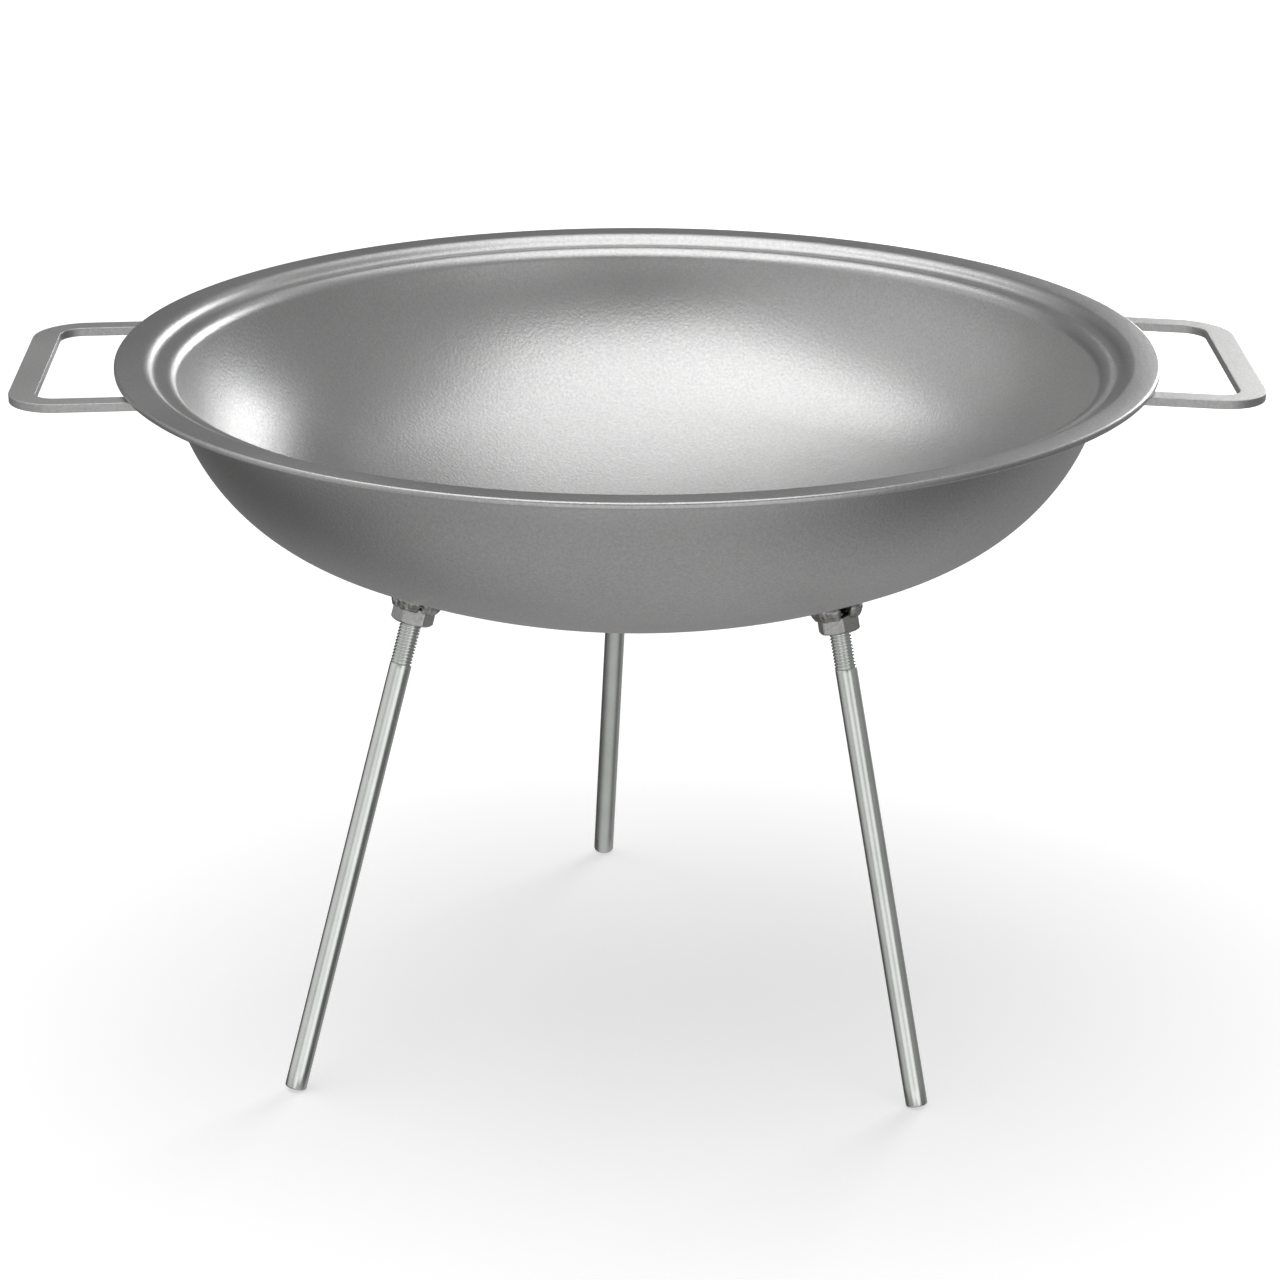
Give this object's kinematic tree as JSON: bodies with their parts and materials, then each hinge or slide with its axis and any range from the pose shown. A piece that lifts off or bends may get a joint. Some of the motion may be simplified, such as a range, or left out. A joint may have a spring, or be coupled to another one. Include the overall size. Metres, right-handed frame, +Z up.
{
  "type": "fire bowl",
  "caption": "Shallow round steel fire bowl with a stepped rim, flat plate loop handles and rod legs that screw into nuts welded under the bowl.",
  "frame": {"origin": "on the floor, under the middle of the bowl", "axes": "+Z up along the bowl's axis; +X towards the right handle and -X towards the left handle; +Y to the rear, where the single rear leg stands"},
  "size_m": [0.5679, 0.48, 0.324],
  "materials": {
    "bowl_steel": "satin",
    "handle_steel": "satin",
    "weld_bead": "satin",
    "nut_steel": "satin",
    "zinc_plate": "polished"
  },
  "bodies": {
    "pan": {"bowl": "bowl_steel", "left_handle": "handle_steel", "right_handle": "handle_steel", "left_handle_rear_weld": "weld_bead", "left_handle_front_weld": "weld_bead", "right_handle_rear_weld": "weld_bead", "right_handle_front_weld": "weld_bead", "rear_leg_nut": "nut_steel", "left_leg_nut": "nut_steel", "right_leg_nut": "nut_steel", "rear_nut_weld": "weld_bead", "left_nut_weld": "weld_bead", "right_nut_weld": "weld_bead"},
    "rear_leg": {"rear_leg": "zinc_plate"},
    "left_leg": {"left_leg": "zinc_plate"},
    "right_leg": {"right_leg": "zinc_plate"}
  },
  "joints": [
    {"name": "rear_leg_unscrew", "type": "slide", "parent": "pan", "child": "rear_leg", "axis": [-0.0396, 0.2686, -0.9624], "range_m": [0, 0.0095]},
    {"name": "left_leg_unscrew", "type": "slide", "parent": "pan", "child": "left_leg", "axis": [-0.2488, -0.1532, -0.9564], "range_m": [0, 0.008]},
    {"name": "right_leg_unscrew", "type": "slide", "parent": "pan", "child": "right_leg", "axis": [0.1624, -0.1895, -0.9684], "range_m": [0, 0.0105]}
  ]
}
